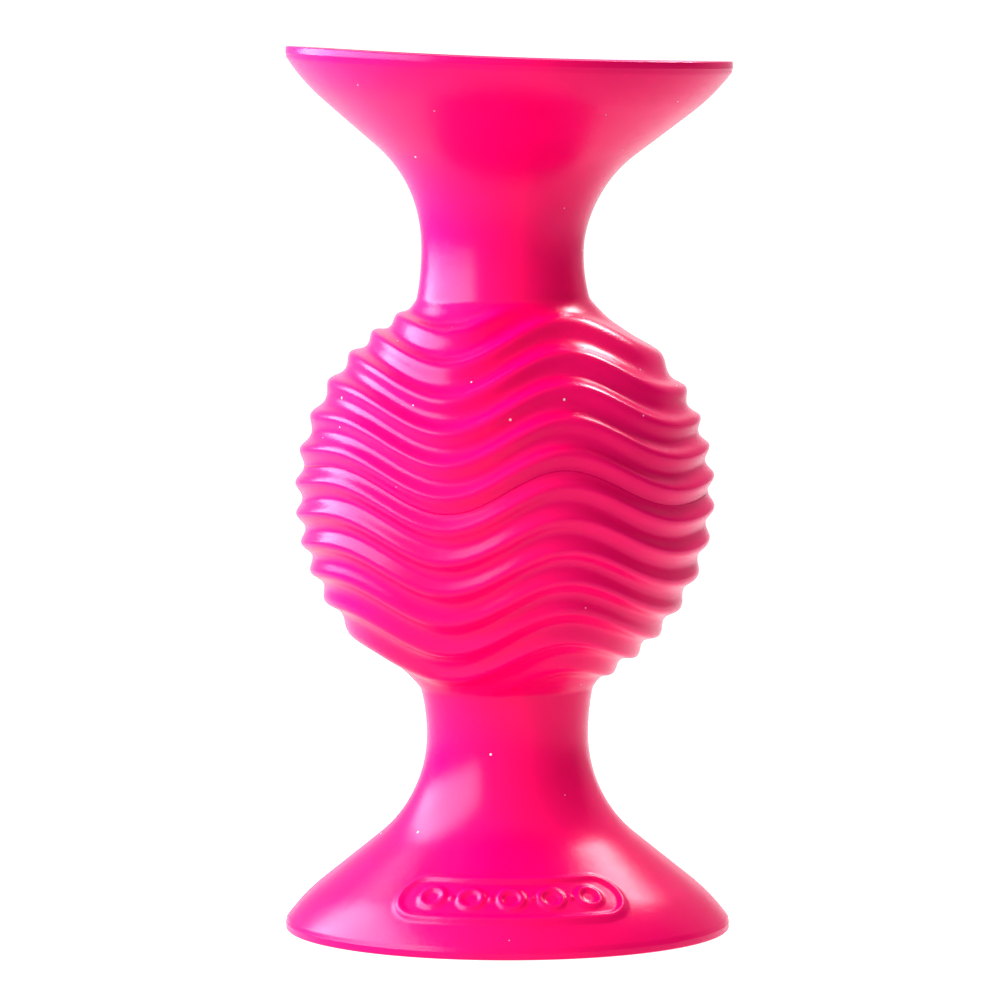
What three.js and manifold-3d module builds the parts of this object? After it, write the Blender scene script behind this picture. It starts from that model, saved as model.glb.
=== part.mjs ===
// Double-ended silicone suction-cup rattle: two flared cups, a waist under each cup and a
// ball grip with wavy ribs between them. The ball holds a hard rattle capsule with loose beads.
// Millimetres, +Z up, origin at the centre of the lower rim's plane.
import * as THREE from 'three';
import { mergeVertices } from 'three/addons/utils/BufferGeometryUtils.js';
import Module from 'manifold-3d';

const wasm = await Module();
wasm.setup();

// ---- overall sizes -------------------------------------------------------------------
const HALF_HEIGHT = 52.2; // rim plane to the ball's centre, the same for both cups
const BALL_MEAN_R = 24.6; // halfway between rib crest and rib valley
const RIM_R = 26.6;
const LIP_H = 1.0; // straight edge of the rim
const LIP_W = 1.5; // flat ring that the cup stands on
const HOLLOW_DEPTH = 11.4; // rim plane to the top of the cup's hollow

// ---- waist and flare -----------------------------------------------------------------
const WAIST_Z = 28.9; // from the ball's centre
const WAIST_R = 9.62;
const FLARE_ARC_R = 15.5; // concave arc from the waist out to the cone
const CONE_SLOPE = THREE.MathUtils.degToRad(51.2); // from the axis
const CONE_END_Z = 46.5; // the skirt turns slightly convex from here to the rim
const SKIRT_ARC_R = 23;
const SKIRT_END_SLOPE = THREE.MathUtils.degToRad(36);
const SHANK_ARC_R = 25; // concave arc from the waist in to the ball

// ---- the bending seat in each waist --------------------------------------------------
const SEAT_R = 11.5; // spherical end of the cup's shank, centred on the waist
const SEAT_GAP = 0.35;

// ---- wavy ribs -----------------------------------------------------------------------
const RIB_PITCH = 3.7;
const RIB_DEPTH = 1.1; // crest to valley
const RIB_PHASE = -0.3; // height of the middle crest's mean line above the ball's centre
const WAVE_HEIGHT = 2.5; // half of a crest line's rise and fall
const WAVE_LENGTH = 27.8;
const WAVE_CREST_X = 7.1;
const RIB_END_Z = [21.0, 23.0]; // ribs fade out between these heights

// ---- rattle capsule and beads --------------------------------------------------------
const CAVITY_R = 15.75;
const CAPSULE_R = 15.45;
const CAPSULE_WALL = 1.5;
const LAP_H = 1.6;
const LAP_GAP = 0.1;
const BEAD_R = 2.5;
const BEAD_GAP = 0.05;
const RING_BEADS = 6;
const RING_R = 5.2;
const BOND_GAP = 0.06; // glue line between the two mouldings

// ---- mesh fineness -------------------------------------------------------------------
const CUP_SEGMENTS = 44;
const BALL_SEGMENTS = 56;
const CAPSULE_SEGMENTS = 30;

const silicone = { color: 0xf0006a, roughness: 0.42, metalness: 0.0 };
const capsulePlastic = { color: 0xe9e6dc, roughness: 0.5, metalness: 0.0 };
const beadSteel = { color: 0xb9bcc0, roughness: 0.25, metalness: 1.0 };

const group = new THREE.Group();

// Adds one closed body to the assembly.
function addPart(name, geometry, look) {
  const mesh = new THREE.Mesh(geometry, new THREE.MeshStandardMaterial(look));
  mesh.name = name;
  group.add(mesh);
}

// Closed three.js geometry to a manifold solid.
function toSolid(geometry) {
  const g = geometry.clone();
  g.deleteAttribute('normal');
  g.deleteAttribute('uv');
  const m = mergeVertices(g, 1e-4);
  const index = Uint32Array.from(m.index.array);
  const kept = [];
  for (let i = 0; i < index.length; i += 3) {
    const [a, b, c] = [index[i], index[i + 1], index[i + 2]];
    if (a !== b && b !== c && a !== c) kept.push(a, b, c);
  }
  const mesh = new wasm.Mesh({
    numProp: 3,
    vertProperties: Float32Array.from(m.attributes.position.array),
    triVerts: Uint32Array.from(kept),
  });
  return new wasm.Manifold(mesh);
}

// Manifold solid back to a three.js geometry.
function toGeometry(solid) {
  const mesh = solid.getMesh();
  const g = new THREE.BufferGeometry();
  g.setAttribute('position', new THREE.BufferAttribute(mesh.vertProperties, 3));
  g.setIndex(new THREE.BufferAttribute(mesh.triVerts, 1));
  g.computeVertexNormals();
  return g;
}

// Turned solid about Z. The profile runs from the axis at the bottom, out, up and back to it.
function turned(profile, segments) {
  const g = new THREE.LatheGeometry(profile, segments);
  g.rotateX(Math.PI / 2);
  g.scale(1, -1, 1);
  const index = g.index.array;
  for (let i = 0; i < index.length; i += 3) {
    [index[i + 1], index[i + 2]] = [index[i + 2], index[i + 1]];
  }
  return g;
}

// Points on a circle arc in the profile plane, from angle a to angle b.
function arc(cx, cz, r, a, b, n) {
  const points = [];
  for (let i = 0; i <= n; i += 1) {
    const t = a + ((b - a) * i) / n;
    points.push(new THREE.Vector2(cx + r * Math.cos(t), cz + r * Math.sin(t)));
  }
  return points;
}

// Sphere about a point on the axis.
function ballSolid(r, z, segments) {
  const g = new THREE.SphereGeometry(r, segments, Math.round(segments / 2));
  g.translate(0, 0, z);
  return toSolid(g);
}

// Shank radius on the ball's side of the waist, z measured from the ball's centre.
function shankRadius(z) {
  const d = WAIST_Z - z;
  return WAIST_R + SHANK_ARC_R - Math.sqrt(SHANK_ARC_R ** 2 - d * d);
}

// Height at which the shank meets the spherical seat.
function seatEdgeZ() {
  let low = WAIST_Z - SEAT_R + 1;
  let high = WAIST_Z;
  for (let i = 0; i < 40; i += 1) {
    const mid = (low + high) / 2;
    const r = Math.hypot(shankRadius(mid), WAIST_Z - mid);
    if (r > SEAT_R) low = mid;
    else high = mid;
  }
  return (low + high) / 2;
}

// Outer line of the cup from the waist to the rim: a concave arc, a cone and a convex arc.
function flareLine() {
  const points = arc(WAIST_R + FLARE_ARC_R, WAIST_Z, FLARE_ARC_R, Math.PI, Math.PI - CONE_SLOPE, 8);
  const last = points[points.length - 1];
  const coneEnd = last.x + (CONE_END_Z - last.y) * Math.tan(CONE_SLOPE);
  points.push(new THREE.Vector2((last.x + coneEnd) / 2, (last.y + CONE_END_Z) / 2));
  const steps = 4;
  for (let i = 0; i <= steps; i += 1) {
    const slope = CONE_SLOPE + ((SKIRT_END_SLOPE - CONE_SLOPE) * i) / steps;
    const r = coneEnd + SKIRT_ARC_R * (Math.cos(slope) - Math.cos(CONE_SLOPE));
    const z = CONE_END_Z + SKIRT_ARC_R * (Math.sin(CONE_SLOPE) - Math.sin(slope));
    points.push(new THREE.Vector2(r, z));
  }
  return points;
}

// Inner line of the cup's hollow, from the flat rim to the axis.
function hollowLine() {
  const apex = HALF_HEIGHT - HOLLOW_DEPTH;
  const curve = new THREE.CubicBezierCurve(
    new THREE.Vector2(RIM_R - LIP_W, HALF_HEIGHT),
    new THREE.Vector2(18.5, 46.2),
    new THREE.Vector2(10.5, apex),
    new THREE.Vector2(0, apex),
  );
  return curve.getPoints(9);
}

// One cup with its shank end, standing on the +Z side of the ball's centre.
function cupProfile() {
  const edgeZ = seatEdgeZ();
  const edgeAngle = Math.atan2(edgeZ - WAIST_Z, shankRadius(edgeZ));
  const points = arc(0, WAIST_Z, SEAT_R, -Math.PI / 2, edgeAngle, 7);
  points[0].x = 0;
  const steps = 3;
  for (let i = 1; i < steps; i += 1) {
    const z = edgeZ + ((WAIST_Z - edgeZ) * i) / steps;
    points.push(new THREE.Vector2(shankRadius(z), z));
  }
  points.push(...flareLine());
  points.push(new THREE.Vector2(RIM_R, HALF_HEIGHT - LIP_H));
  points.push(new THREE.Vector2(RIM_R, HALF_HEIGHT));
  points.push(...hollowLine());
  points[points.length - 1].x = 0;
  return points.filter((p, i) => i === 0 || p.distanceTo(points[i - 1]) > 0.02);
}

// Height of a rib's crest line over its mean line.
function wave(x) {
  return WAVE_HEIGHT * Math.cos((2 * Math.PI * (x - WAVE_CREST_X)) / WAVE_LENGTH);
}

// Rib section from -1 in a valley to 1 on a crest. The argument counts pitches above a crest.
function ribSection(u) {
  return Math.cos(2 * Math.PI * u);
}

// Point of the ribbed ball on the row at mean height t, in the direction of an azimuth.
function ribbedPoint(t, azimuth) {
  const fade = THREE.MathUtils.clamp((BALL_MEAN_R - Math.abs(t)) / 4, 0, 1);
  let z = t;
  for (let i = 0; i < 12; i += 1) {
    const across = Math.sqrt(Math.max(BALL_MEAN_R ** 2 - z * z, 0));
    z = t + fade * wave(across * Math.cos(azimuth));
    z = THREE.MathUtils.clamp(z, -BALL_MEAN_R + 0.2, BALL_MEAN_R - 0.2);
  }
  const across = Math.sqrt(BALL_MEAN_R ** 2 - z * z);
  const x = across * Math.cos(azimuth);
  const y = across * Math.sin(azimuth);
  const u = (z - wave(x) - RIB_PHASE) / RIB_PITCH;
  const keep = 1 - THREE.MathUtils.smoothstep(Math.abs(z), RIB_END_Z[0], RIB_END_Z[1]);
  const k = 1 + (keep * 0.5 * RIB_DEPTH * ribSection(u)) / BALL_MEAN_R;
  return [x * k, y * k, z * k];
}

// Rows that fall on every crest and valley and halfway down both flanks.
function ribRows() {
  const rows = [];
  for (let k = -28; k <= 28; k += 1) {
    const t = RIB_PHASE + (RIB_PITCH * k) / 4;
    if (Math.abs(t) < BALL_MEAN_R - 1.6) rows.push(t);
  }
  return rows;
}

// The whole ribbed ball as a solid about its own centre.
function ribbedBall() {
  const rows = ribRows();
  const vertices = [];
  const index = [];
  const n = BALL_SEGMENTS;
  for (const t of rows) {
    for (let j = 0; j < n; j += 1) vertices.push(...ribbedPoint(t, (2 * Math.PI * j) / n));
  }
  const bottom = vertices.length / 3;
  vertices.push(0, 0, -BALL_MEAN_R, 0, 0, BALL_MEAN_R);
  for (let i = 0; i + 1 < rows.length; i += 1) {
    for (let j = 0; j < n; j += 1) {
      const a = i * n + j;
      const b = i * n + ((j + 1) % n);
      index.push(a, b, b + n, a, b + n, a + n);
    }
  }
  const top = (rows.length - 1) * n;
  for (let j = 0; j < n; j += 1) {
    const k = (j + 1) % n;
    index.push(bottom, k, j, bottom + 1, top + j, top + k);
  }
  const g = new THREE.BufferGeometry();
  g.setAttribute('position', new THREE.Float32BufferAttribute(vertices, 3));
  g.setIndex(index);
  return toSolid(g);
}

// Short shank between the ball and the seat, on the +Z side.
function shankSolid() {
  const low = CAVITY_R - 2;
  const high = WAIST_Z - 3;
  const points = [new THREE.Vector2(0, low)];
  const steps = 6;
  for (let i = 0; i <= steps; i += 1) {
    const z = low + ((high - low) * i) / steps;
    points.push(new THREE.Vector2(shankRadius(Math.max(z, 19)), z));
  }
  points.push(new THREE.Vector2(0, high));
  return turned(points, CUP_SEGMENTS);
}

// Everything above (side 1) or below (side -1) the wavy bond line that runs along a rib valley.
function bondHalf(side) {
  const level = RIB_PHASE + RIB_PITCH / 2;
  const reach = 40;
  const shape = new THREE.Shape();
  const steps = 60;
  shape.moveTo(-reach, side * reach);
  for (let i = 0; i <= steps; i += 1) {
    const x = -reach + (2 * reach * i) / steps;
    shape.lineTo(x, level + wave(x) + (side * BOND_GAP) / 2);
  }
  shape.lineTo(reach, side * reach);
  shape.closePath();
  const g = new THREE.ExtrudeGeometry(shape, { depth: 2 * reach, bevelEnabled: false });
  g.translate(0, 0, -reach);
  g.rotateX(Math.PI / 2);
  return toSolid(g);
}

// The two halves of the grip, hollow for the capsule and with a seat for each cup's shank.
function addGrip() {
  const shankUp = toSolid(shankSolid());
  const shankDown = toSolid(shankSolid().rotateX(Math.PI));
  let grip = ribbedBall().add(shankUp).add(shankDown);
  grip = grip.subtract(ballSolid(CAVITY_R, 0, 30));
  grip = grip.subtract(ballSolid(SEAT_R + SEAT_GAP, WAIST_Z, 44));
  grip = grip.subtract(ballSolid(SEAT_R + SEAT_GAP, -WAIST_Z, 44));
  for (const [name, side] of [['lower_grip', -1], ['upper_grip', 1]]) {
    const half = toGeometry(grip.intersect(bondHalf(side)));
    half.translate(0, 0, HALF_HEIGHT);
    addPart(name, half, silicone);
  }
}

// The two cups, mirror images of each other.
function addCups() {
  const upper = turned(cupProfile(), CUP_SEGMENTS);
  const lower = upper.clone().rotateX(Math.PI);
  upper.translate(0, 0, HALF_HEIGHT);
  lower.translate(0, 0, HALF_HEIGHT);
  addPart('lower_cup', lower, silicone);
  addPart('upper_cup', upper, silicone);
}

// Half shell of the capsule below its centre, ending in a tongue that enters the other half.
function capsuleLower() {
  const inner = CAPSULE_R - CAPSULE_WALL;
  const step = CAPSULE_R - CAPSULE_WALL / 2;
  const points = arc(0, 0, CAPSULE_R, -Math.PI / 2, 0, 8);
  points[0].x = 0;
  points.push(new THREE.Vector2(step - LAP_GAP / 2, 0));
  points.push(new THREE.Vector2(step - LAP_GAP / 2, LAP_H));
  points.push(new THREE.Vector2(inner, LAP_H));
  points.push(...arc(0, 0, inner, 0, -Math.PI / 2, 8));
  points[points.length - 1].x = 0;
  return turned(points, CAPSULE_SEGMENTS);
}

// Half shell above the centre, with the matching step on its inside.
function capsuleUpper() {
  const inner = CAPSULE_R - CAPSULE_WALL;
  const step = CAPSULE_R - CAPSULE_WALL / 2;
  const start = Math.asin((LAP_H + LAP_GAP) / inner);
  const points = arc(0, 0, inner, Math.PI / 2, start, 8);
  points[0].x = 0;
  points.push(new THREE.Vector2(step + LAP_GAP / 2, LAP_H + LAP_GAP));
  points.push(new THREE.Vector2(step + LAP_GAP / 2, LAP_GAP));
  const outer = arc(0, 0, CAPSULE_R, Math.asin(LAP_GAP / CAPSULE_R), Math.PI / 2, 8);
  outer[outer.length - 1].x = 0;
  points.push(...outer);
  return turned(points, CAPSULE_SEGMENTS);
}

function addCapsule() {
  addPart('capsule_lower', capsuleLower().translate(0, 0, HALF_HEIGHT), capsulePlastic);
  addPart('capsule_upper', capsuleUpper().translate(0, 0, HALF_HEIGHT), capsulePlastic);
}

// One bead in the middle of the capsule's floor and a ring of beads round it.
function addBeads() {
  const rollR = CAPSULE_R - CAPSULE_WALL - BEAD_R - BEAD_GAP;
  for (let i = 0; i <= RING_BEADS; i += 1) {
    const out = i === 0 ? 0 : RING_R;
    const turn = (2 * Math.PI * i) / RING_BEADS;
    const bead = new THREE.SphereGeometry(BEAD_R, 14, 9);
    bead.rotateX(Math.PI / 2);
    const z = HALF_HEIGHT - Math.sqrt(rollR ** 2 - out ** 2);
    bead.translate(out * Math.cos(turn), out * Math.sin(turn), z);
    addPart(`bead_${i + 1}`, bead, beadSteel);
  }
}

addCups();
addGrip();
addCapsule();
addBeads();

export default group;
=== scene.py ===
"""Fine surface, finishes and studio for a double-ended silicone suction-cup rattle.

Two flared cups, a waist behind each cup and a ball grip with wavy ribs are moulded as two
silicone halves, glued together along a rib valley. The ball holds a hard two-part capsule
with loose beads. Sizes in the classes are millimetres, meshes are in metres, and heights
named z in a profile are counted from the ball's centre.
"""

import logging
import math
from dataclasses import dataclass, field
from enum import Enum
from typing import Any, Callable

import bpy
import numpy as np
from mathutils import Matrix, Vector


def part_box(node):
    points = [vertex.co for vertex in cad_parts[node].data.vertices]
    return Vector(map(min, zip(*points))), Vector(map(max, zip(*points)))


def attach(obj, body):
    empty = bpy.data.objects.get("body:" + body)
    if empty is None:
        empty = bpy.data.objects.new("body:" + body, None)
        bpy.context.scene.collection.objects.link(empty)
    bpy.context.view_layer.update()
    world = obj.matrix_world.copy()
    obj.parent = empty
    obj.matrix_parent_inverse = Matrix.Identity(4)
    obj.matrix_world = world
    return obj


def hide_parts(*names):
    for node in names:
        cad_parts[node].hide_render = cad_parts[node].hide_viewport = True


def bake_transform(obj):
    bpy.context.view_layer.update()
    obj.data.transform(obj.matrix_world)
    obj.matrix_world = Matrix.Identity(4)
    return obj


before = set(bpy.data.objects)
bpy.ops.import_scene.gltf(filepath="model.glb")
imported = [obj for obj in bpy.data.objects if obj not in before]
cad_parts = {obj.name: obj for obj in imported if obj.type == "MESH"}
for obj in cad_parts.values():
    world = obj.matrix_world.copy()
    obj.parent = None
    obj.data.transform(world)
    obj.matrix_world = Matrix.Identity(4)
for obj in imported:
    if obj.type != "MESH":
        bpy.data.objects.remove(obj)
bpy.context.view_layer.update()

LOG = logging.getLogger("suction_cup_rattle")
MM = 0.001
TAU = 2 * math.pi
RELIEF = "rib_relief"  # how much of the rib section a vertex takes, 0 to 1
PARTINGS = (0.0, math.pi)  # azimuths of the mould's parting lines

Outline = Callable[[np.ndarray], np.ndarray]


class End(Enum):
    """Which end of the toy a moulding makes, and the sign of its direction along Z."""

    LOWER = -1
    UPPER = 1


class Shell(Enum):
    """The two halves of the rattle capsule."""

    LOWER = "capsule_lower"
    UPPER = "capsule_upper"


# ---------------------------------------------------------------------------------------
# Nodes
# ---------------------------------------------------------------------------------------


@dataclass(frozen=True)
class Value:
    """A number carried by a node socket, used in Python arithmetic."""

    maker: "NodeMaker"
    socket: bpy.types.NodeSocket

    def __add__(self, other: Any) -> "Value":
        """Sum with a number or another value."""
        return self.maker.maths("ADD", self, other)

    def __radd__(self, other: Any) -> "Value":
        """Sum with a number on the left."""
        return self.maker.maths("ADD", other, self)

    def __sub__(self, other: Any) -> "Value":
        """Difference."""
        return self.maker.maths("SUBTRACT", self, other)

    def __rsub__(self, other: Any) -> "Value":
        """Difference from a number on the left."""
        return self.maker.maths("SUBTRACT", other, self)

    def __mul__(self, other: Any) -> "Value":
        """Product."""
        return self.maker.maths("MULTIPLY", self, other)

    def __rmul__(self, other: Any) -> "Value":
        """Product with a number on the left."""
        return self.maker.maths("MULTIPLY", other, self)

    def __truediv__(self, other: Any) -> "Value":
        """Quotient."""
        return self.maker.maths("DIVIDE", self, other)

    def cos(self) -> "Value":
        """Cosine of an angle in radians."""
        return self.maker.maths("COSINE", self)

    def below(self, limit: Any) -> "Value":
        """One where the value is under the limit, else nought."""
        return self.maker.maths("LESS_THAN", self, limit)

    def between(self, low: float, high: float) -> "Value":
        """Smooth step from nought at low to one at high.

        Args:
            low: Where the step starts.
            high: Where the step ends.

        Returns:
            The eased value.
        """
        node = self.maker.node(
            "ShaderNodeMapRange",
            {"interpolation_type": "SMOOTHSTEP"},
            {"Value": self, "From Min": low, "From Max": high},
        )
        return Value(self.maker, node.outputs["Result"])


class NodeMaker:
    """Adds nodes to one tree, for shader trees and Geometry Nodes alike."""

    def __init__(self, tree: bpy.types.NodeTree) -> None:
        """Keeps the tree that nodes go into."""
        self.tree = tree

    def node(
        self,
        kind: str,
        settings: dict[str, Any] | None = None,
        inputs: dict[Any, Any] | None = None,
    ) -> bpy.types.Node:
        """Adds a node, sets its settings, then its values and links.

        Args:
            kind: The node's type name.
            settings: Attributes of the node.
            inputs: Input names or numbers, each with a number, colour, value or socket.

        Returns:
            The new node.
        """
        made = self.tree.nodes.new(kind)
        for name, value in (settings or {}).items():
            setattr(made, name, value)
        for key, value in (inputs or {}).items():
            socket = made.inputs[key]
            if isinstance(value, Value):
                self.tree.links.new(value.socket, socket)
            elif isinstance(value, bpy.types.NodeSocket):
                self.tree.links.new(value, socket)
            else:
                socket.default_value = value
        return made

    def maths(self, operation: str, *operands: Any) -> Value:
        """Adds a Math node.

        Args:
            operation: The Math node's operation.
            operands: Values or numbers, in the node's order.

        Returns:
            The node's result.
        """
        made = self.node("ShaderNodeMath", {"operation": operation}, dict(enumerate(operands)))
        return Value(self, made.outputs[0])

    def value(self, socket: bpy.types.NodeSocket) -> Value:
        """Wraps an output socket."""
        return Value(self, socket)

    def mix(self, share: Value, first: Any, second: Any) -> bpy.types.NodeSocket:
        """Adds a colour between two others.

        Args:
            share: Nought for the first colour, one for the second.
            first: First colour, or a socket that carries it.
            second: Second colour.

        Returns:
            The mixed colour.
        """
        inputs = {"Factor": share, 6: first, 7: second}
        return self.node("ShaderNodeMix", {"data_type": "RGBA"}, inputs).outputs[2]

    def bump(
        self, height: Value, depth_mm: float, strength: float, under: Any = None
    ) -> bpy.types.NodeSocket:
        """Adds fine relief.

        Args:
            height: The relief's pattern.
            depth_mm: How deep the pattern goes.
            strength: How strongly it shows.
            under: The normal that it lies on, if there is one.

        Returns:
            The new normal.
        """
        inputs = {"Height": height, "Distance": depth_mm * MM, "Strength": strength}
        if under is not None:
            inputs["Normal"] = under
        return self.node("ShaderNodeBump", {}, inputs).outputs[0]


# ---------------------------------------------------------------------------------------
# Finishes
# ---------------------------------------------------------------------------------------


@dataclass(frozen=True)
class Finish:
    """What every finish has in common."""

    name: str

    def material(self) -> bpy.types.Material:
        """Makes the material.

        Returns:
            A node material that reads Object coordinates.
        """
        made = bpy.data.materials.new(self.name)
        made.use_nodes = True
        made.node_tree.nodes.clear()
        maker = NodeMaker(made.node_tree)
        place = maker.node("ShaderNodeTexCoord").outputs["Object"]
        shader = self.shader(maker, place)
        output = maker.node("ShaderNodeOutputMaterial")
        made.node_tree.links.new(shader.outputs["BSDF"], output.inputs["Surface"])
        return made

    def shader(self, maker: NodeMaker, place: bpy.types.NodeSocket) -> bpy.types.Node:
        """Builds the shader; each finish has its own."""
        raise NotImplementedError

    @staticmethod
    def noise(
        maker: NodeMaker, place: bpy.types.NodeSocket, size_mm: float, detail: float
    ) -> Value:
        """Noise whose blobs are about a given size.

        Args:
            maker: The tree's node maker.
            place: Coordinates in metres.
            size_mm: Size of the blobs.
            detail: Number of finer layers.

        Returns:
            A value around one half.
        """
        made = maker.node(
            "ShaderNodeTexNoise",
            {"noise_dimensions": "3D"},
            {"Vector": place, "Scale": 1 / (size_mm * MM), "Detail": detail, "Roughness": 0.6},
        )
        return maker.value(made.outputs[0])


@dataclass(frozen=True)
class SiliconeFinish(Finish):
    """Hot pink silicone from a finely blasted mould, with a few specks of lint."""

    pink: tuple = (0.95, 0.0, 0.195, 1.0)
    deep_pink: tuple = (0.90, 0.0, 0.178, 1.0)
    lint: tuple = (0.9, 0.72, 0.78, 1.0)
    roughness: float = 0.23
    grain_mm: float = 0.2
    grain_height_mm: float = 0.014
    orange_peel_mm: float = 1.3
    orange_peel_height_mm: float = 0.012
    lint_cell_mm: float = 2.2
    lint_share: float = 0.2
    lint_size: float = 0.03
    lint_size_spread: float = 0.05
    lint_dulling: float = 0.3
    cloud_mm: float = 9.0
    smear_mm: float = 6.0
    smear_swing: float = 0.10
    grain_swing: float = 0.12
    grain_strength: float = 0.7
    orange_peel_strength: float = 0.5
    ior: float = 1.41
    shine: float = 0.56
    shine_tint: tuple = (1.0, 0.6, 0.58, 1.0)
    scatter: float = 0.12
    scatter_reach: tuple = (1.0, 0.1, 0.3)
    scatter_mm: float = 0.8

    def shader(self, maker: NodeMaker, place: bpy.types.NodeSocket) -> bpy.types.Node:
        """Pink body colour, fine grain and lint.

        Args:
            maker: The tree's node maker.
            place: Coordinates in metres.

        Returns:
            The shader node.
        """
        clouds = self.noise(maker, place, self.cloud_mm, 2.0)
        body = maker.mix(clouds.between(0.3, 0.7), self.pink, self.deep_pink)
        speck = self._lint(maker, place)
        colour = maker.mix(speck, body, self.lint)
        grain = self.noise(maker, place, self.grain_mm, 2.0)
        peel = self.noise(maker, place, self.orange_peel_mm, 1.0)
        smears = (self.noise(maker, place, self.smear_mm, 3.0) - 0.5) * self.smear_swing
        grit = (grain - 0.5) * self.grain_swing
        gloss = self.roughness + smears + grit + speck * self.lint_dulling
        fine = maker.bump(grain, self.grain_height_mm * 2, self.grain_strength)
        coarse = maker.bump(
            peel, self.orange_peel_height_mm * 2, self.orange_peel_strength, fine
        )
        return maker.node(
            "ShaderNodeBsdfPrincipled",
            {},
            {
                "Base Color": colour,
                "Roughness": gloss,
                "Normal": coarse,
                "IOR": self.ior,
                "Specular IOR Level": self.shine,
                "Specular Tint": self.shine_tint,
                "Subsurface Weight": self.scatter,
                "Subsurface Radius": self.scatter_reach,
                "Subsurface Scale": self.scatter_mm * MM,
            },
        )

    def _lint(self, maker: NodeMaker, place: bpy.types.NodeSocket) -> Value:
        """One on scattered specks of lint.

        Args:
            maker: The tree's node maker.
            place: Coordinates in metres.

        Returns:
            The specks' mask.
        """
        cells = maker.node(
            "ShaderNodeTexVoronoi",
            {"feature": "F1"},
            {"Vector": place, "Scale": 1 / (self.lint_cell_mm * MM)},
        )
        pick = maker.node("ShaderNodeSeparateColor", {}, {0: cells.outputs["Color"]})
        chosen = maker.value(pick.outputs[0]).below(self.lint_share)
        size = maker.value(pick.outputs[1]) * self.lint_size_spread + self.lint_size
        return maker.value(cells.outputs["Distance"]).below(size) * chosen


@dataclass(frozen=True)
class CapsuleFinish(Finish):
    """Off-white satin plastic with faint flow marks."""

    light: tuple = (0.82, 0.80, 0.72, 1.0)
    dull: tuple = (0.74, 0.71, 0.62, 1.0)
    flow_mm: float = 5.0
    grain_mm: float = 0.25
    grain_height_mm: float = 0.02
    roughness: float = 0.42
    grain_swing: float = 0.2
    ior: float = 1.49

    def shader(self, maker: NodeMaker, place: bpy.types.NodeSocket) -> bpy.types.Node:
        """Moulded plastic.

        Args:
            maker: The tree's node maker.
            place: Coordinates in metres.

        Returns:
            The shader node.
        """
        flow = self.noise(maker, place, self.flow_mm, 3.0)
        colour = maker.mix(flow.between(0.35, 0.65), self.light, self.dull)
        grain = self.noise(maker, place, self.grain_mm, 2.0)
        normal = maker.bump(grain, self.grain_height_mm, 0.5)
        return maker.node(
            "ShaderNodeBsdfPrincipled",
            {},
            {
                "Base Color": colour,
                "Roughness": self.roughness + (grain - 0.5) * self.grain_swing,
                "Normal": normal,
                "IOR": self.ior,
            },
        )


@dataclass(frozen=True)
class BeadFinish(Finish):
    """Bright tumbled steel with fine scuffs."""

    steel: tuple = (0.62, 0.63, 0.65, 1.0)
    scuffed: tuple = (0.45, 0.45, 0.46, 1.0)
    scuff_mm: float = 0.5
    scuff_depth_mm: float = 0.01
    roughness: float = 0.18
    scuff_dulling: float = 0.22

    def shader(self, maker: NodeMaker, place: bpy.types.NodeSocket) -> bpy.types.Node:
        """Tumbled metal.

        Args:
            maker: The tree's node maker.
            place: Coordinates in metres.

        Returns:
            The shader node.
        """
        scuffs = self.noise(maker, place, self.scuff_mm, 4.0).between(0.45, 0.7)
        colour = maker.mix(scuffs, self.steel, self.scuffed)
        normal = maker.bump(scuffs, self.scuff_depth_mm, 0.4)
        return maker.node(
            "ShaderNodeBsdfPrincipled",
            {},
            {
                "Base Color": colour,
                "Metallic": 1.0,
                "Roughness": self.roughness + scuffs * self.scuff_dulling,
                "Normal": normal,
            },
        )


@dataclass(frozen=True)
class SweepFinish(Finish):
    """Matt paper sweep whose glow keeps it pale behind the toy; the glow is a painted pool of
    light, white under and behind the toy and grey in front and at the sides.
    """

    paper: tuple = (0.16, 0.16, 0.16, 1.0)
    # glow colours of the painted pool of light: white in the middle, grey in front and at the
    # sides
    white: tuple = (1.0, 1.0, 1.0, 1.0)
    grey: tuple = (0.42, 0.42, 0.42, 1.0)
    lit_from: float = -0.17
    lit_to: float = -0.08
    side_from: float = 0.03  # squared distance to the side, in square metres
    side_to: float = 0.16
    glow: float = 0.82
    roughness: float = 0.9

    def shader(self, maker: NodeMaker, place: bpy.types.NodeSocket) -> bpy.types.Node:
        """White paper.

        Args:
            maker: The tree's node maker.
            place: Coordinates in metres.

        Returns:
            The shader node.
        """
        split = maker.node("ShaderNodeSeparateXYZ", {}, {0: place})
        x, y = maker.value(split.outputs[0]), maker.value(split.outputs[1])
        # painted pool of light: full white glow behind the front edge and away from the sides
        inside = 1 - (x * x).between(self.side_from, self.side_to)
        lit = y.between(self.lit_from, self.lit_to) * inside
        glow = maker.mix(lit, self.grey, self.white)
        return maker.node(
            "ShaderNodeBsdfPrincipled",
            {},
            {
                "Base Color": self.paper,
                "Roughness": self.roughness,
                "Specular IOR Level": 0.0,
                "Emission Color": glow,
                "Emission Strength": self.glow,
            },
        )


# ---------------------------------------------------------------------------------------
# Mesh helpers
# ---------------------------------------------------------------------------------------


def smooth_step(x: np.ndarray | float, low: float, high: float) -> np.ndarray:
    """Smooth step from 0 at low to 1 at high.

    Args:
        x: Where it is wanted.
        low: Start of the step.
        high: End of the step.

    Returns:
        The eased values.
    """
    t = np.clip((np.asarray(x, float) - low) / (high - low), 0.0, 1.0)
    return t * t * (3 - 2 * t)


def smooth_max(a: np.ndarray, b: np.ndarray, width: float) -> np.ndarray:
    """Larger of two lines, with a fillet where they cross.

    Args:
        a: First line.
        b: Second line.
        width: How far from the crossing the fillet reaches.

    Returns:
        The joined line.
    """
    near = np.maximum(width - np.abs(a - b), 0.0) / width
    return np.maximum(a, b) + near * near * width * 0.25


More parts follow.
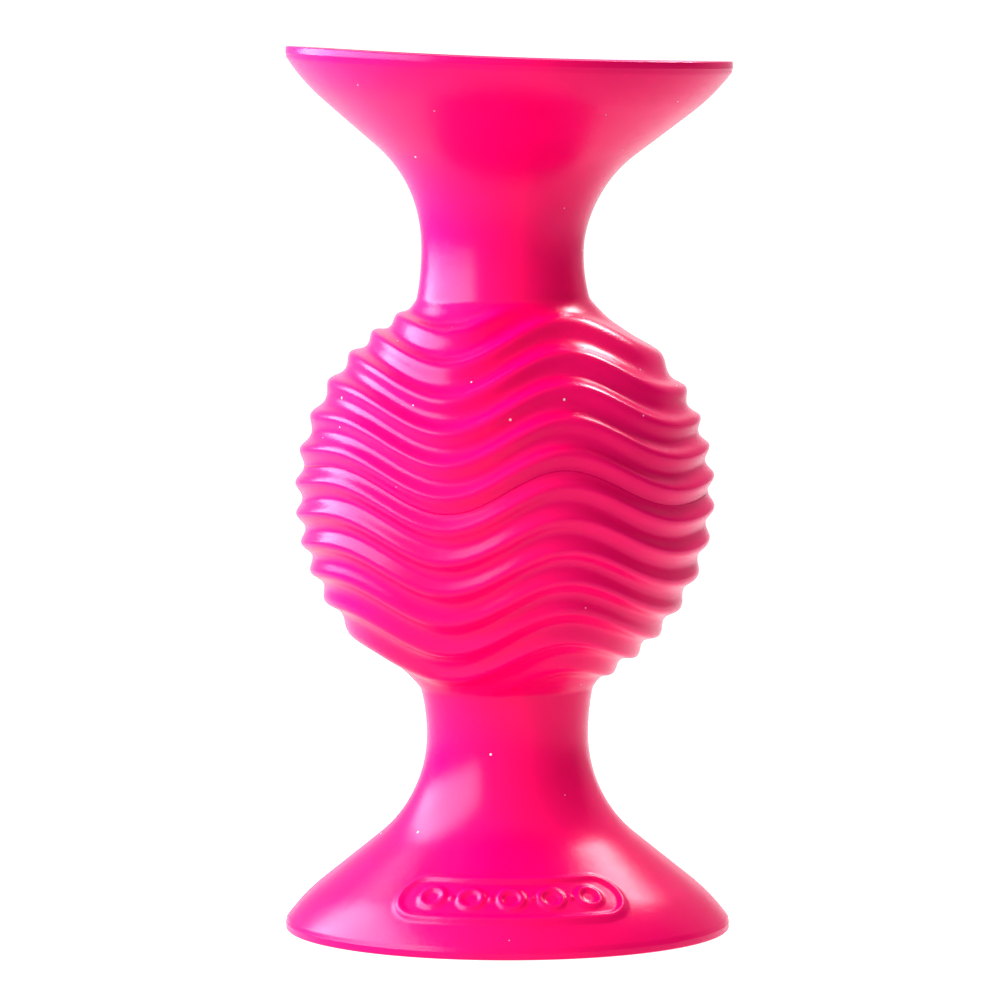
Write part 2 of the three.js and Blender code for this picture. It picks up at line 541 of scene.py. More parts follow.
def sphere_outline(radius: float) -> Outline:
    """Outline of a sphere about the ball's centre.

    Args:
        radius: The sphere's radius.

    Returns:
        The radius at a height.
    """

    def outline(z: np.ndarray) -> np.ndarray:
        """Radius at a height."""
        return np.sqrt(np.maximum(radius * radius - z * z, 0.0))

    return outline


def fade_away(near: float, far: float) -> Outline:
    """Share that falls from one to nought, above and below the ball's centre.

    Args:
        near: Distance from the centre where the fall starts.
        far: Distance where it ends.

    Returns:
        The share at a height.
    """

    def share(t: np.ndarray) -> np.ndarray:
        """Share at a height."""
        return 1 - smooth_step(np.abs(t), near, far)

    return share


def mesh_from_rows(name: str, rows: np.ndarray, poles: tuple, flip: bool) -> bpy.types.Mesh:
    """Closed mesh from rings of vertices and the two points that close its ends.

    Args:
        name: The mesh's name.
        rows: Rings, of shape (rings, columns, 3), in millimetres.
        poles: The points before the first ring and after the last one.
        flip: Whether the rings wind the other way, so that faces point outwards.

    Returns:
        The mesh, in metres, smooth shaded.
    """
    rings, columns = rows.shape[:2]
    points = np.concatenate([rows.reshape(-1, 3), np.asarray(poles, float)]) * MM
    first, last = rings * columns, rings * columns + 1
    here = np.arange(columns)
    after = (here + 1) % columns
    base = (np.arange(rings - 1) * columns)[:, None]
    quads = np.stack(
        [base + here, base + after, base + after + columns, base + here + columns], axis=-1
    ).reshape(-1, 4)
    top = (rings - 1) * columns
    start = np.stack([np.full(columns, first), after, here], axis=-1)
    end = np.stack([np.full(columns, last), top + here, top + after], axis=-1)
    faces = [*quads.tolist(), *start.tolist(), *end.tolist()]
    if flip:
        faces = [face[::-1] for face in faces]
    mesh = bpy.data.meshes.new(name)
    mesh.from_pydata(points.tolist(), [], faces)
    mesh.polygons.foreach_set("use_smooth", [True] * len(mesh.polygons))
    mesh.validate()
    mesh.update()
    return mesh


def turned_rows(profile: np.ndarray, angles: np.ndarray) -> np.ndarray:
    """Rings from a profile of (radius, height) points.

    Args:
        profile: Points of the profile.
        angles: Azimuth of each column.

    Returns:
        Rings of shape (points, columns, 3).
    """
    radius, height = profile[:, :1], profile[:, 1:2]
    x = radius * np.cos(angles)
    y = radius * np.sin(angles)
    return np.stack([x, y, np.broadcast_to(height, x.shape)], axis=-1)


def arc_points(centre: tuple, radius: float, start: float, stop: float, count: int) -> np.ndarray:
    """Points on a circle arc in the profile plane.

    Args:
        centre: The arc's centre, as (radius, height).
        radius: The arc's radius.
        start: First angle, in radians.
        stop: Last angle.
        count: Number of points.

    Returns:
        The points.
    """
    t = np.linspace(start, stop, count)
    return np.stack([centre[0] + radius * np.cos(t), centre[1] + radius * np.sin(t)], axis=1)


def line_points(a: tuple, b: tuple, count: int) -> np.ndarray:
    """Evenly spaced points on a straight line.

    Args:
        a: First point.
        b: Last point.
        count: Number of points, with both ends.

    Returns:
        The points.
    """
    return np.linspace(np.asarray(a, float), np.asarray(b, float), count)


def add_object(mesh: bpy.types.Mesh) -> bpy.types.Object:
    """Puts a mesh in the scene as an object of the same name.

    Args:
        mesh: The mesh.

    Returns:
        The object.
    """
    made = bpy.data.objects.new(mesh.name, mesh)
    bpy.context.scene.collection.objects.link(made)
    return made


def bake_tree(piece: bpy.types.Object, tree: bpy.types.NodeTree, values: dict[str, Any]) -> None:
    """Runs a Geometry Nodes tree on a piece and keeps its result as the piece's mesh.

    Args:
        piece: The object.
        tree: The tree.
        values: Named inputs and what they are set to.
    """
    modifier = piece.modifiers.new(tree.name, "NODES")
    modifier.node_group = tree
    for item in tree.interface.items_tree:
        if item.item_type == "SOCKET" and item.in_out == "INPUT" and item.name in values:
            modifier[item.identifier] = values[item.name]
    piece.update_tag()
    graph = bpy.context.evaluated_depsgraph_get()
    mesh = bpy.data.meshes.new_from_object(piece.evaluated_get(graph), depsgraph=graph)
    piece.modifiers.remove(modifier)
    old = piece.data
    piece.data = mesh
    bpy.data.meshes.remove(old)
    mesh.name = piece.name


# ---------------------------------------------------------------------------------------
# Geometry Nodes trees
# ---------------------------------------------------------------------------------------


class GeometryTree:
    """A Geometry Nodes tree with named inputs."""

    def __init__(self, name: str, numbers: tuple[str, ...], material: bpy.types.Material) -> None:
        """Makes the tree's interface.

        Args:
            name: The tree's name.
            numbers: Names of its number inputs.
            material: What the result is made of.
        """
        self.tree = bpy.data.node_groups.new(name, "GeometryNodeTree")
        face = self.tree.interface
        face.new_socket(name="Geometry", in_out="INPUT", socket_type="NodeSocketGeometry")
        for label in numbers:
            face.new_socket(name=label, in_out="INPUT", socket_type="NodeSocketFloat")
        face.new_socket(name="Geometry", in_out="OUTPUT", socket_type="NodeSocketGeometry")
        self.maker = NodeMaker(self.tree)
        self.entry = self.maker.node("NodeGroupInput")
        self.material = material

    def number(self, name: str) -> Value:
        """A number input, as a value."""
        return self.maker.value(self.entry.outputs[name])

    def finish(self, geometry: bpy.types.NodeSocket) -> bpy.types.NodeTree:
        """Ends the tree with real geometry and its material.

        Args:
            geometry: What the tree made.

        Returns:
            The tree.
        """
        real = self.maker.node("GeometryNodeRealizeInstances", {}, {0: geometry})
        dressed = self.maker.node(
            "GeometryNodeSetMaterial", {}, {"Geometry": real.outputs[0], "Material": self.material}
        )
        self.maker.node("NodeGroupOutput", {}, {0: dressed.outputs[0]})
        return self.tree


@dataclass
class WavyRibs:
    """Ribs whose crest lines rise and fall across the ball, all ruled along Y."""

    pitch: float = 3.7
    depth: float = 0.86
    phase: float = 0.0
    wave_height: float = 2.5
    wave_length: float = 27.8
    crest_x: float = 7.1
    crest_round: float = 0.06

    def wave(self, x: np.ndarray) -> np.ndarray:
        """Height of a crest line over its mean line.

        Args:
            x: Distance across the ball, in millimetres.

        Returns:
            The height there, in millimetres.
        """
        return self.wave_height * np.cos(TAU * (x - self.crest_x) / self.wave_length)

    def bond_level(self) -> float:
        """Mean height of the valley that the glue line runs in."""
        return self.phase + self.pitch / 2

    def tree(self, material: bpy.types.Material) -> bpy.types.NodeTree:
        """Geometry Nodes that push the ribs out of a smooth ball.

        Args:
            material: The silicone.

        Returns:
            The tree.
        """
        names = ("Centre height", "Pitch", "Depth", "Phase", "Wave height", "Wave length",
                 "Crest offset", "Crest rounding")
        made = GeometryTree("wavy_ribs", names, material)
        maker = made.maker
        position = maker.node("GeometryNodeInputPosition").outputs[0]
        split = maker.node("ShaderNodeSeparateXYZ", {}, {0: position})
        x, y = maker.value(split.outputs[0]), maker.value(split.outputs[1])
        z = maker.value(split.outputs[2]) - made.number("Centre height")
        turn = TAU * (x - made.number("Crest offset")) / made.number("Wave length")
        wave = made.number("Wave height") * turn.cos()
        count = (z - wave - made.number("Phase")) / made.number("Pitch")
        first = (TAU * count).cos()
        section = first + made.number("Crest rounding") * (2 * TAU * count).cos()
        weight = maker.node(
            "GeometryNodeInputNamedAttribute", {"data_type": "FLOAT"}, {"Name": RELIEF}
        )
        amount = section * made.number("Depth") * 0.5 * maker.value(weight.outputs[0])
        outward = maker.node("ShaderNodeCombineXYZ", {}, {0: x, 1: y, 2: z})
        unit = maker.node(
            "ShaderNodeVectorMath", {"operation": "NORMALIZE"}, {0: outward.outputs[0]}
        )
        offset = maker.node(
            "ShaderNodeVectorMath", {"operation": "SCALE"}, {0: unit.outputs[0], "Scale": amount}
        )
        moved = maker.node(
            "GeometryNodeSetPosition",
            {},
            {"Geometry": made.entry.outputs["Geometry"], "Offset": offset.outputs[0]},
        )
        return made.finish(moved.outputs[0])

    def inputs(self, centre_z: float) -> dict[str, float]:
        """The tree's inputs, in metres.

        Args:
            centre_z: Height of the ball's centre over the origin, in millimetres.

        Returns:
            Named values.
        """
        return {
            "Centre height": centre_z * MM,
            "Pitch": self.pitch * MM,
            "Depth": self.depth * MM,
            "Phase": self.phase * MM,
            "Wave height": self.wave_height * MM,
            "Wave length": self.wave_length * MM,
            "Crest offset": self.crest_x * MM,
            "Crest rounding": self.crest_round,
        }


# ---------------------------------------------------------------------------------------
# Raised badge on the lower cup: a plain pill outline with a row of rings and dots
# ---------------------------------------------------------------------------------------


@dataclass
class Badge:
    """Raised moulding on the front of the lower cup."""

    middle_azimuth: float = -math.pi / 2 + 0.02
    middle_z: float = 45.9
    reference_r: float = 21.6
    half_length: float = 13.6
    half_width: float = 3.1
    line: float = 0.75
    height: float = 0.42
    plinth: float = 0.12
    edge: float = 0.45
    rings: int = 5
    ring_step: float = 4.7
    ring_r: float = 1.35
    crown: float = 0.1

    def relief(self, azimuth: np.ndarray, slant: np.ndarray) -> np.ndarray:
        """Height of the raised moulding.

        Args:
            azimuth: Azimuth of each vertex.
            slant: Distance up the skirt from the badge's middle, in millimetres.

        Returns:
            Height over the skirt, in millimetres.
        """
        turn = (azimuth - self.middle_azimuth + math.pi) % TAU - math.pi
        along = turn * self.reference_r
        body = self.half_length - self.half_width
        past = np.maximum(np.abs(along) - body, 0.0)
        pill = np.hypot(past, slant) - self.half_width
        height = self.plinth * (1 - smooth_step(pill, -self.edge, self.edge))
        height = np.maximum(height, self._stroke(np.abs(pill)))
        for i in range(self.rings):
            middle = (i - (self.rings - 1) / 2) * self.ring_step
            away = np.hypot(along - middle, slant)
            height = np.maximum(height, self._stroke(np.abs(away - self.ring_r)))
            if i:
                dot = np.hypot(along - middle + self.ring_step / 2, slant)
                height = np.maximum(height, self._stroke(dot))
        return height

    def _stroke(self, away: np.ndarray) -> np.ndarray:
        """Round-topped stroke, from the distance to its middle line."""
        return self.height * (1 - smooth_step(away, self.crown, self.line))


# ---------------------------------------------------------------------------------------
# Silicone mouldings
# ---------------------------------------------------------------------------------------


@dataclass
class SiliconeBody:
    """Both silicone mouldings, with the sizes that they share."""

    half_height: float = 52.2
    ball_r: float = 24.6
    rim_r: float = 26.6
    lip_h: float = 1.0
    lip_w: float = 1.5
    lip_round: float = 0.22
    hollow_depth: float = 11.4
    waist_z: float = 28.9
    waist_r: float = 9.62
    flare_arc_r: float = 15.5
    cone_slope: float = math.radians(51.2)
    cone_end_z: float = 46.5
    skirt_arc_r: float = 23.0
    skirt_end_slope: float = math.radians(36.0)
    shank_arc_r: float = 25.0
    junction: float = 1.5
    cavity_r: float = 15.75
    bond_gap: float = 0.004
    row_step: float = 0.225
    ball_lean: float = math.radians(-0.6)
    cup_lean: float = math.radians(2.6)
    waist_bend: float = 6.9
    rim_warp: float = 0.25
    flash: float = 0.05
    shank_low_z: float = 12.0
    shank_blend_z: float = 15.0
    relief_fade: tuple = (20.6, 23.4)
    wave_fade: tuple = (14.5, 22.4)
    cavity_fade: tuple = (3.0, 12.0)
    cavity_rings: int = 16
    cavity_top: float = math.radians(84)
    wave_passes: int = 14
    ball_top_z: float = 21.2
    stance_fade: tuple = (16.5, 23.0)
    rim_low_z: float = 44.0
    ribs: WavyRibs = field(default_factory=WavyRibs)
    badge: Badge = field(default_factory=Badge)

    def columns(self, end: End) -> np.ndarray:
        """Azimuths of the columns, closer together at the front.

        Args:
            end: Which moulding.

        Returns:
            Azimuths in radians, with one exactly on each side's parting line.
        """
        count, squeeze = (350, 0.55) if end is End.LOWER else (330, 0.3)
        s = np.arange(count) * TAU / count
        angles = s - squeeze * np.sin(s + math.pi / 2)
        for parting in PARTINGS:
            nearest = np.argmin(np.abs((angles - parting + math.pi) % TAU - math.pi))
            gap = (angles[nearest] - parting + math.pi) % TAU - math.pi
            angles[nearest] -= gap
        return angles

    def shank_radius(self, z: np.ndarray) -> np.ndarray:
        """Radius of the shank between the waist and the ball."""
        d = self.waist_z - np.clip(z, self.shank_low_z, self.waist_z)
        return self.waist_r + self.shank_arc_r - np.sqrt(self.shank_arc_r**2 - d * d)

    def ball_radius(self, z: np.ndarray) -> np.ndarray:
        """Radius of the smooth ball, filleted into its shank.

        Args:
            z: Height over or under the ball's centre.

        Returns:
            The radius there.
        """
        up = np.abs(z)
        ball = np.sqrt(np.maximum(self.ball_r**2 - up * up, 0.0))
        joined = smooth_max(ball, self.shank_radius(up), self.junction * 2)
        return np.where(up > self.shank_blend_z, joined, ball)

    def wavy_rows(
        self, levels: np.ndarray, angles: np.ndarray, radius: Outline, fade: Outline
    ) -> np.ndarray:
        """Rings that follow the ribs' waves.

        Args:
            levels: Mean height of each ring.
            angles: Azimuths of the columns.
            radius: Radius of the surface at a height.
            fade: How much of the wave a ring takes, by its mean height.

        Returns:
            Rings of shape (levels, columns, 3).
        """
        t = levels[:, None]
        share = fade(t)
        z = np.broadcast_to(t, (len(levels), len(angles))).copy()
        for _ in range(self.wave_passes):
            z = t + share * self.ribs.wave(radius(z) * np.cos(angles))
        r = radius(z)
        return np.stack([r * np.cos(angles), r * np.sin(angles), z], axis=-1)

    def cup_profile(self, end: End) -> tuple[np.ndarray, np.ndarray]:
        """Profile from the waist over the rim to the top of the hollow.

        Args:
            end: Which moulding; the lower one has closer rows for its badge.

        Returns:
            The points, and which of them are on the outside of the skirt.
        """
        centre = (self.waist_r + self.flare_arc_r, self.waist_z)
        arc = arc_points(centre, self.flare_arc_r, math.pi, math.pi - self.cone_slope, 26)
        last = arc[-1]
        run = (self.cone_end_z - last[1]) * math.tan(self.cone_slope)
        cone_end = (last[0] + run, self.cone_end_z)
        fine = end is End.LOWER
        cone = line_points(last, cone_end, 40 if fine else 12)[1:]
        slope = np.linspace(self.cone_slope, self.skirt_end_slope, 26 if fine else 14)[1:]
        skirt = np.stack(
            [
                cone_end[0] + self.skirt_arc_r * (np.cos(slope) - math.cos(self.cone_slope)),
                cone_end[1] + self.skirt_arc_r * (math.sin(self.cone_slope) - np.sin(slope)),
            ],
            axis=1,
        )
        lip = self._lip()
        hollow = self._hollow(18)
        profile = np.concatenate([arc, cone, skirt, lip, hollow])
        outside = np.zeros(len(profile), bool)
        outside[: len(arc) + len(cone) + len(skirt)] = True
        return profile, outside

    def _lip(self) -> np.ndarray:
        """Rounded band at the rim.

        Returns:
            Points of the profile, from the skirt to the hollow.
        """
        k, top, r = self.lip_round, self.half_height, self.rim_r
        band = top - self.lip_h
        return np.concatenate(
            [
                arc_points((r - k, band + k), k, -math.pi / 4, 0.0, 4),
                arc_points((r - k, top - k), k, 0.0, math.pi / 2, 6),
                line_points((r - 2 * k, top), (r - self.lip_w + k, top), 3),
            ]
        )

    def _hollow(self, count: int) -> np.ndarray:
        """Inside of the cup, from the rim to just beside the axis.

        Args:
            count: Number of points.

        Returns:
            Points of the profile.
        """
        apex = self.half_height - self.hollow_depth
        control = np.array(
            [[self.rim_r - self.lip_w, self.half_height], [18.5, 46.2], [10.5, apex], [0, apex]]
        )
        t = np.linspace(0, 1, count + 1)[:-1, None]
        weights = np.concatenate(
            [(1 - t) ** 3, 3 * t * (1 - t) ** 2, 3 * t * t * (1 - t), t**3], axis=1
        )
        return weights @ control

    def build(self, end: End, material: bpy.types.Material) -> bpy.types.Object:
        """Makes one moulding.

        Args:
            end: Which moulding.
            material: The silicone.

        Returns:
            The finished object.
        """
        sign = end.value
        angles = self.columns(end)
        bond = self.ribs.bond_level() + sign * self.bond_gap / 2
        cavity = self._cavity_rows(angles, bond, sign)
        glue = self._glue_rows(angles, bond)
        ball, shank = self._ball_rows(angles, bond, sign)
        profile, outside = self.cup_profile(end)
        cup = turned_rows(profile, angles)
        self._raise_details(end, cup, profile, outside, angles)
        cup[..., 2] *= sign
        rows = np.concatenate([cavity, glue, ball, shank, cup])
        relief = np.zeros(rows.shape[:2])
        start = len(cavity) + len(glue)
        ribbed = slice(start, start + len(ball) + len(shank))
        relief[ribbed] = 1 - smooth_step(np.abs(rows[ribbed][..., 2]), *self.relief_fade)
        self._add_flash(rows, start, len(ball) + len(shank) + int(outside.sum()), angles)
        rows[..., 2] += self.half_height
        apex = sign * (self.half_height - self.hollow_depth) + self.half_height
        inner = sign * self.cavity_r + self.half_height
        name = f"{end.name.lower()}_moulding"
        poles = ((0.0, 0.0, inner), (0.0, 0.0, apex))
        mesh = mesh_from_rows(name, rows, poles, end is End.LOWER)
        weights = mesh.attributes.new(RELIEF, "FLOAT", "POINT")
        weights.data.foreach_set("value", np.append(relief.ravel(), [0.0, 0.0]).astype(np.float32))
        piece = add_object(mesh)
        bake_tree(piece, self.ribs.tree(material), self.ribs.inputs(self.half_height))
        self.settle(piece)
        piece.data.attributes.remove(piece.data.attributes[RELIEF])
        return piece

    def _cavity_rows(self, angles: np.ndarray, bond: float, sign: int) -> np.ndarray:
        """Rings of the cavity for the capsule, from its top to the glue line.

        Args:
            angles: Azimuths of the columns.
            bond: Mean height of the glue line.
            sign: Direction of the moulding's end along Z.

        Returns:
            Rings of shape (rings, columns, 3).
        """
        start = math.asin(bond / self.cavity_r)
        steps = np.linspace(sign * self.cavity_top, start, self.cavity_rings)
        levels = self.cavity_r * np.sin(steps)
        outline = sphere_outline(self.cavity_r)
        return self.wavy_rows(levels, angles, outline, fade_away(*self.cavity_fade))

    def _glue_rows(self, angles: np.ndarray, bond: float) -> np.ndarray:
        """Rings across the glued face.

        Args:
            angles: Azimuths of the columns.
            bond: Mean height of the glue line.

        Returns:
            Rings of shape (rings, columns, 3).
        """
        level = np.array([bond])
        radii = np.linspace(self.cavity_r, self.ball_r - self.ribs.depth / 2, 5)[1:-1]
        return np.concatenate(
            [self.wavy_rows(level, angles, sphere_outline(r), np.ones_like) for r in radii]
        )

    def _ball_rows(
        self, angles: np.ndarray, bond: float, sign: int
    ) -> tuple[np.ndarray, np.ndarray]:
        """Rings up the ribbed ball and along its shank to the waist.

        Args:
            angles: Azimuths of the columns.
            bond: Mean height of the glue line.
            sign: Direction of the moulding's end along Z.

        Returns:
            The ball's rings and the shank's.
        """
        join = self.ball_top_z
        low, high = math.asin(bond / self.ball_r), sign * math.asin(join / self.ball_r)
        count = int(abs(high - low) * self.ball_r / self.row_step)
        levels = self.ball_r * np.sin(np.linspace(low, high, count))
        near = np.arange(join + 0.2, 24.4, 0.2)
        far = np.linspace(24.6, self.waist_z, 10)[:-1]
        fade = fade_away(*self.wave_fade)
        up = sign * np.concatenate([near, far])
        ball = self.wavy_rows(levels, angles, self.ball_radius, fade)
        return ball, self.wavy_rows(up, angles, self.ball_radius, fade)

    def _raise_details(
        self,
        end: End,
        cup: np.ndarray,
        profile: np.ndarray,
        outside: np.ndarray,
        angles: np.ndarray,
    ) -> None:
        """Raises the badge on the lower cup's skirt.

        Args:
            end: Which moulding; only the lower one has a badge.
            cup: The cup's rings, which are changed.
            profile: Points that the rings were turned from.
            outside: Which of the points are on the outside of the skirt.
            angles: Azimuths of the columns.
        """
        if end is not End.LOWER:
            return
        steps = np.hypot(*np.diff(profile, axis=0).T)
        slant = np.concatenate([[0.0], np.cumsum(steps)])
        middle = np.interp(self.badge.middle_z, profile[outside, 1], slant[outside])
        height = self.badge.relief(angles[None, :], (middle - slant)[:, None])
        height *= outside[:, None]
        out = np.array([math.cos(self.cone_slope), -math.sin(self.cone_slope)])
        cup[..., 0] += height * out[0] * np.cos(angles)
        cup[..., 1] += height * out[0] * np.sin(angles)
        cup[..., 2] += height * out[1]

    def _add_flash(self, rows: np.ndarray, start: int, count: int, angles: np.ndarray) -> None:
        """Thin ridge that the mould's parting line leaves down both sides.

        Args:
            rows: The moulding's rings, which are changed.
            start: First ring on the outside.
            count: Number of rings on the outside.
            angles: Azimuths of the columns.
        """
        for parting in PARTINGS:
            away = np.abs((angles - parting + math.pi) % TAU - math.pi)
            column = int(np.argmin(away))
            rows[start : start + count, column, 0] += self.flash * math.cos(parting)

    def settle(self, piece: bpy.types.Object) -> None:
        """Gives the soft toy its slightly crooked stance; the capsule's cavity stays put.

        Args:
            piece: The moulding.
        """
        mesh = piece.data
        flat = np.empty(len(mesh.vertices) * 3, np.float32)
        mesh.vertices.foreach_get("co", flat)
        points = flat.reshape(-1, 3).astype(float) / MM
        x, y, z = points[:, 0], points[:, 1], points[:, 2] - self.half_height
        outside = smooth_step(np.sqrt(x * x + y * y + z * z), *self.stance_fade)
        rim = smooth_step(z, self.rim_low_z, self.half_height)
        lifted = z + rim * self.rim_warp * (x * x - y * y) / self.rim_r**2
        moved = np.stack([x, lifted], axis=1)
        for pivot, lean in ((self.waist_z, self.cup_lean), (-self.waist_z, self.ball_lean)):
            turn = lean * smooth_step(z, pivot - self.waist_bend, pivot + self.waist_bend)
            across, up = moved[:, 0], moved[:, 1] - pivot
            moved = np.stack(
                [
                    across * np.cos(turn) + up * np.sin(turn),
                    pivot - across * np.sin(turn) + up * np.cos(turn),
                ],
                axis=1,
            )
        points[:, 0] = x + outside * (moved[:, 0] - x)
        points[:, 2] += outside * (moved[:, 1] - z)
        mesh.vertices.foreach_set("co", (points * MM).astype(np.float32).ravel())
        mesh.update()

    def fit(self, piece: bpy.types.Object, end: End) -> None:
        """Hides the CAD parts that the moulding stands for, and bakes its transform into its mesh.

        Args:
            piece: The moulding.
            end: Which moulding.
        """
        side = end.name.lower()
        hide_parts(f"{side}_cup", f"{side}_grip")
        waist = self.half_height + end.value * self.waist_z
        low = (0, 0, (waist - self.waist_bend) * MM)
        high = (0, 0, (waist + self.waist_bend) * MM)
        if end is End.LOWER:
            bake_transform(piece)
        else:
            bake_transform(piece)


# ---------------------------------------------------------------------------------------
# Capsule and beads
# ---------------------------------------------------------------------------------------


@dataclass
class Rattle:
    """Hard capsule in two lapped shells, with loose beads in it."""

    centre_z: float = 52.2
    outer_r: float = 15.45
    wall: float = 1.5
    lap_h: float = 1.6
    lap_gap: float = 0.1
    columns: int = 96
    beads: int = 7
    beside_pole: float = math.radians(88)
    bead_fineness: int = 5

    def build_shell(self, shell: Shell, material: bpy.types.Material) -> bpy.types.Object:
        """Makes one half of the capsule.

        Args:
            shell: Which half.
            material: The plastic.

        Returns:
            The finished object.
        """
        inner, outer, gap = self.outer_r - self.wall, self.outer_r, self.lap_gap
        step, beside = outer - self.wall / 2, self.beside_pole
        if shell is Shell.LOWER:
            profile = np.concatenate(
                [
                    arc_points((0, 0), outer, -beside, 0.0, 36),
                    line_points((step - gap / 2, 0.0), (step - gap / 2, self.lap_h), 4),
                    line_points((inner, self.lap_h), (inner, 0.2), 3),
                    arc_points((0, 0), inner, 0.0, -beside, 34),
                ]
            )
            poles = ((0, 0, self.centre_z - outer), (0, 0, self.centre_z - inner))
        else:
            low = self.lap_h + gap
            profile = np.concatenate(
                [
                    arc_points((0, 0), inner, beside, math.asin(low / inner), 34),
                    line_points((step + gap / 2, low), (step + gap / 2, gap), 4),
                    arc_points((0, 0), outer, math.asin(gap / outer), beside, 36),
                ]
            )
            poles = ((0, 0, self.centre_z + inner), (0, 0, self.centre_z + outer))
        angles = np.arange(self.columns) * TAU / self.columns
        rows = turned_rows(profile, angles)
        rows[..., 2] += self.centre_z
        piece = add_object(mesh_from_rows(f"{shell.value}_shell", rows, poles, False))
        piece.data.materials.append(material)
        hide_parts(shell.value)
        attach(piece, "grip_body")
        return piece

    def bead_tree(self, material: bpy.types.Material) -> bpy.types.NodeTree:
        """Geometry Nodes that put one round bead at a place.

        Args:
            material: The steel.

        Returns:
            The tree.
        """
        made = GeometryTree("rattle_bead", ("Radius", "Across", "Along", "Up"), material)
        maker = made.maker
        ball = maker.node(
            "GeometryNodeMeshIcoSphere",
            {},
            {"Radius": made.number("Radius"), "Subdivisions": self.bead_fineness},
        )
        smooth = maker.node("GeometryNodeSetShadeSmooth", {}, {"Geometry": ball.outputs[0]})
        place = maker.node(
            "ShaderNodeCombineXYZ",
            {},
            {0: made.number("Across"), 1: made.number("Along"), 2: made.number("Up")},
        )
        moved = maker.node(
            "GeometryNodeTransform",
            {},
            {"Geometry": smooth.outputs[0], "Translation": place.outputs[0]},
        )
        return made.finish(moved.outputs[0])

    def build_bead(self, number: int, tree: bpy.types.NodeTree) -> bpy.types.Object:
        """Makes one bead where its solid lies.

        Args:
            number: The bead's number, from 1.
            tree: The bead's Geometry Nodes.

        Returns:
            The finished object.
        """
        node = f"bead_{number}"
        low, high = (Vector(corner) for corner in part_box(node))
        middle = (low + high) / 2
        piece = add_object(bpy.data.meshes.new(f"{node}_ball"))
        radius = (high.z - low.z) / 2
        values = {"Radius": radius, "Across": middle.x, "Along": middle.y, "Up": middle.z}
        bake_tree(piece, tree, values)
        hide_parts(node)
        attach(piece, f"{node}_body")
        return piece


# ---------------------------------------------------------------------------------------
# Studio
# ---------------------------------------------------------------------------------------


@dataclass(frozen=True)
class Softbox:
    """A plain area light, aimed at a point."""

    name: str
    place: tuple
    aim: tuple
    size: tuple
    watts: float

    def build(self) -> bpy.types.Object:
        """Makes the light.

        Returns:
            The light object.
        """
        lamp = bpy.data.lights.new(self.name, "AREA")
        lamp.shape = "RECTANGLE"
        lamp.size, lamp.size_y = self.size
        lamp.energy = self.watts
        made = bpy.data.objects.new(self.name, lamp)
        made.location = self.place
        aim = Vector(self.aim) - Vector(self.place)
        made.rotation_euler = aim.to_track_quat("-Z", "Y").to_euler()
        bpy.context.scene.collection.objects.link(made)
        return made


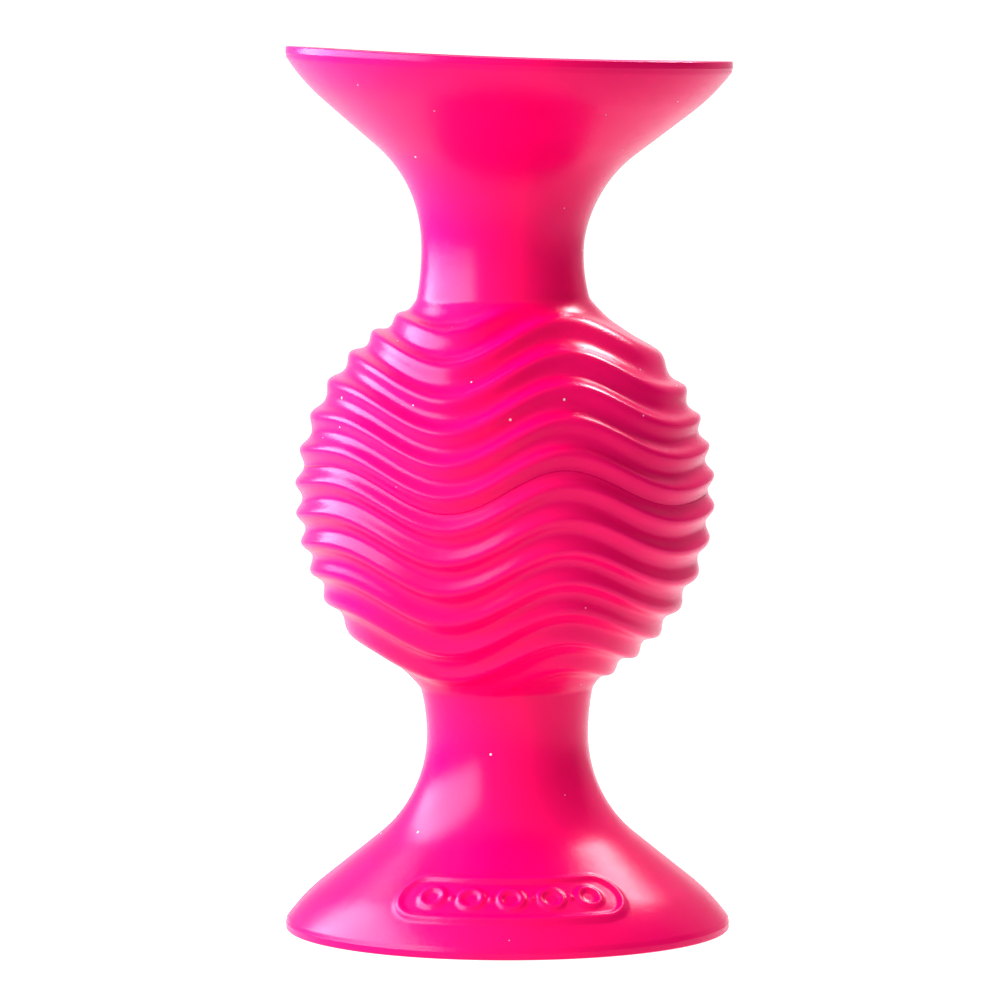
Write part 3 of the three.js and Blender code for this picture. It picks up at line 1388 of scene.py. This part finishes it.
@dataclass
class Studio:
    """White sweep, soft lights and the camera."""

    distance: float = 0.70
    elevation: float = math.radians(4.4)
    target: tuple = (-0.0009, 0.0, 0.0514)
    lens: float = 210.8
    room_light: float = 0.74
    room_dim: float = 0.14
    exposure: float = 0.3
    gamma: float = 0.8
    centre: tuple = (0.0, 0.0, 0.0522)
    sweep_half: float = 2.0
    sweep_front: float = -2.5
    sweep_back: float = 1.1
    sweep_bend: float = 0.5
    sweep_top: float = 1.6
    bend_steps: int = 12
    lights: tuple = (
        Softbox("left_softbox", (-0.21, -0.04, 0.18), (0.0, -0.04, 0.165), (0.42, 0.20), 1.9),
        Softbox("back_right_softbox", (0.22, 0.29, 0.45), (0.0, 0.0, 0.05), (0.18, 0.18), 1.7),
    )

    def build(self) -> None:
        """Makes everything round the toy."""
        self._sweep()
        for light in self.lights:
            light.build()
        self._world()
        self._camera()

    def _sweep(self) -> None:
        """Floor that curves up into a back wall."""
        bend, back, half = self.sweep_bend, self.sweep_back, self.sweep_half
        side = [(self.sweep_front, 0.0)]
        for i in range(self.bend_steps + 1):
            a = (math.pi / 2) * i / self.bend_steps
            side.append((back - bend + bend * math.sin(a), bend - bend * math.cos(a)))
        side.append((back, self.sweep_top))
        points = [(x, y, z) for y, z in side for x in (-half, half)]
        faces = [(2 * i, 2 * i + 1, 2 * i + 3, 2 * i + 2) for i in range(len(side) - 1)]
        mesh = bpy.data.meshes.new("sweep")
        mesh.from_pydata(points, [], faces)
        mesh.polygons.foreach_set("use_smooth", [True] * len(mesh.polygons))
        sweep = add_object(mesh)
        sweep.data.materials.append(SweepFinish("white_sweep").material())

    def _world(self) -> None:
        """Dim grey room, brighter on the left and in front of the toy."""
        world = bpy.data.worlds.new("room")
        world.use_nodes = True
        world.node_tree.nodes.clear()
        maker = NodeMaker(world.node_tree)
        place = maker.node("ShaderNodeTexCoord").outputs["Generated"]
        split = maker.node("ShaderNodeSeparateXYZ", {}, {0: place})
        left = (0 - maker.value(split.outputs[0])).between(-1.5, 0.7)
        front = (0 - maker.value(split.outputs[1])).between(-0.4, 0.4)
        glow = left * front * self.room_light + self.room_dim
        sky = maker.node("ShaderNodeBackground", {}, {"Strength": glow})
        output = maker.node("ShaderNodeOutputWorld")
        world.node_tree.links.new(sky.outputs[0], output.inputs["Surface"])
        bpy.context.scene.world = world

    def _camera(self) -> None:
        """Long lens, level with the upper rim."""
        lens = bpy.data.cameras.new("camera")
        lens.lens = self.lens
        lens.sensor_width = 36.0
        lens.clip_start, lens.clip_end = 0.01, 20.0
        camera = bpy.data.objects.new("camera", lens)
        centre = Vector(self.centre)
        back = Vector((0.0, -math.cos(self.elevation), math.sin(self.elevation)))
        camera.location = centre + back * self.distance
        aim = Vector(self.target) - camera.location
        camera.rotation_euler = aim.to_track_quat("-Z", "Y").to_euler()
        bpy.context.scene.collection.objects.link(camera)
        scene = bpy.context.scene
        scene.camera = camera
        scene.view_settings.view_transform = "Standard"
        scene.view_settings.look = "None"
        scene.view_settings.exposure = self.exposure
        scene.view_settings.gamma = self.gamma


def main() -> None:
    """Builds every piece, dresses it, and sets up the studio."""
    logging.basicConfig(level=logging.INFO, format="%(name)s: %(message)s")
    silicone = SiliconeFinish("hot_pink_silicone").material()
    body = SiliconeBody()
    for end in End:
        piece = body.build(end, silicone)
        body.fit(piece, end)
        LOG.info("%s has %d faces", piece.name, len(piece.data.polygons))
    rattle = Rattle()
    plastic = CapsuleFinish("capsule_plastic").material()
    for shell in Shell:
        piece = rattle.build_shell(shell, plastic)
        LOG.info("%s has %d faces", piece.name, len(piece.data.polygons))
    tree = rattle.bead_tree(BeadFinish("tumbled_steel").material())
    for number in range(1, rattle.beads + 1):
        piece = rattle.build_bead(number, tree)
        LOG.info("%s has %d faces", piece.name, len(piece.data.polygons))
    Studio().build()


if __name__ == "__main__":
    main()
